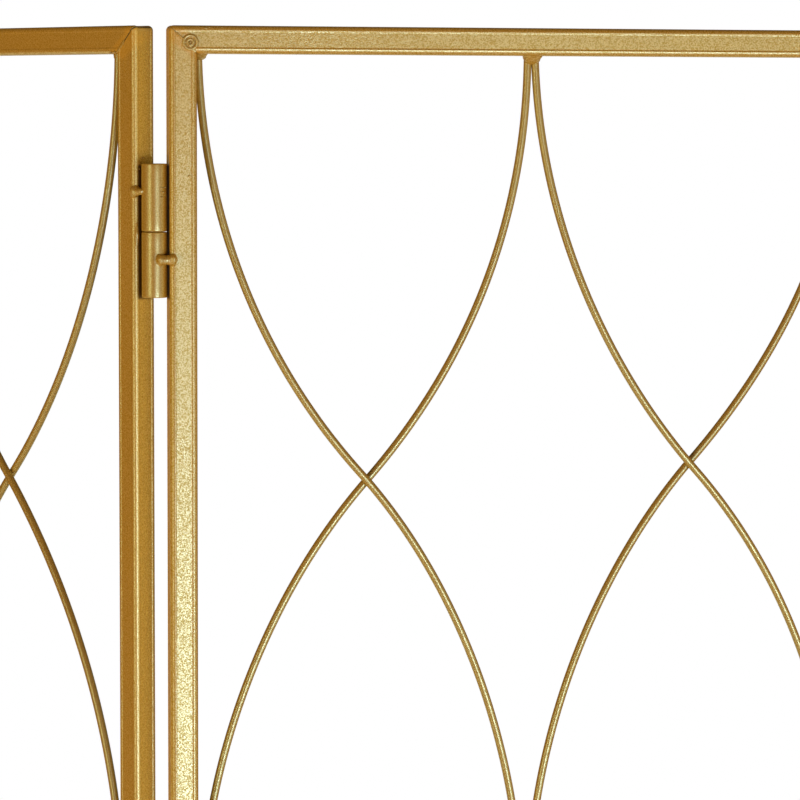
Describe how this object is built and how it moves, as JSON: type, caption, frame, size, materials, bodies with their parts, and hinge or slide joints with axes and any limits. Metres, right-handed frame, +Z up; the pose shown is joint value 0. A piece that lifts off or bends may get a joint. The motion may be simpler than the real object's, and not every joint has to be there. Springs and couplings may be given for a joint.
{
  "type": "folding metal room divider",
  "caption": "Free-standing folding screen of square-tube panels with a wavy wire lattice, joined by barrel hinges.",
  "frame": {"origin": "on the floor, at the middle of the centre panel's foot line and of the whole footprint", "axes": "+Z up, +X along the centre panel to its right, -Y towards the viewer in front"},
  "size_m": [1.1234, 0.87, 1.83],
  "materials": {
    "frame_paint": "satin",
    "wire_paint": "satin",
    "hinge_paint": "satin",
    "weld_paint": "satin",
    "pin_steel": "satin",
    "glide": "matte"
  },
  "bodies": {
    "centre_panel": {"centre_panel_bottom_rail": "frame_paint", "centre_panel_feet": "glide", "centre_panel_hinge_welds": "weld_paint", "centre_panel_left_bay_front_wire": "wire_paint", "centre_panel_left_bay_rear_wire": "wire_paint", "centre_panel_left_stile": "frame_paint", "centre_panel_rail_welds": "weld_paint", "centre_panel_right_bay_front_wire": "wire_paint", "centre_panel_right_bay_rear_wire": "wire_paint", "centre_panel_right_stile": "frame_paint", "centre_panel_top_rail": "frame_paint", "left_hinge_lower_barrels": "hinge_paint", "left_hinge_pins": "pin_steel", "right_hinge_lower_barrels": "hinge_paint", "right_hinge_pins": "pin_steel"},
    "left_panel": {"left_hinge_upper_barrels": "hinge_paint", "left_panel_bottom_rail": "frame_paint", "left_panel_feet": "glide", "left_panel_hinge_welds": "weld_paint", "left_panel_left_bay_front_wire": "wire_paint", "left_panel_left_bay_rear_wire": "wire_paint", "left_panel_left_stile": "frame_paint", "left_panel_rail_welds": "weld_paint", "left_panel_right_bay_front_wire": "wire_paint", "left_panel_right_bay_rear_wire": "wire_paint", "left_panel_right_stile": "frame_paint", "left_panel_top_rail": "frame_paint"},
    "right_panel": {"right_hinge_upper_barrels": "hinge_paint", "right_panel_bottom_rail": "frame_paint", "right_panel_feet": "glide", "right_panel_hinge_welds": "weld_paint", "right_panel_left_bay_front_wire": "wire_paint", "right_panel_left_bay_rear_wire": "wire_paint", "right_panel_left_stile": "frame_paint", "right_panel_rail_welds": "weld_paint", "right_panel_right_bay_front_wire": "wire_paint", "right_panel_right_bay_rear_wire": "wire_paint", "right_panel_right_stile": "frame_paint", "right_panel_top_rail": "frame_paint"}
  },
  "joints": [
    {"name": "left_fold", "type": "hinge", "parent": "centre_panel", "child": "left_panel", "pos_m": [-0.2643, 0, 0.917], "axis": [0, 0, 1], "range_deg": [-39, 104]},
    {"name": "right_fold", "type": "hinge", "parent": "centre_panel", "child": "right_panel", "pos_m": [0.2643, 0, 0.917], "axis": [0, 0, 1], "range_deg": [-39, 104]}
  ]
}
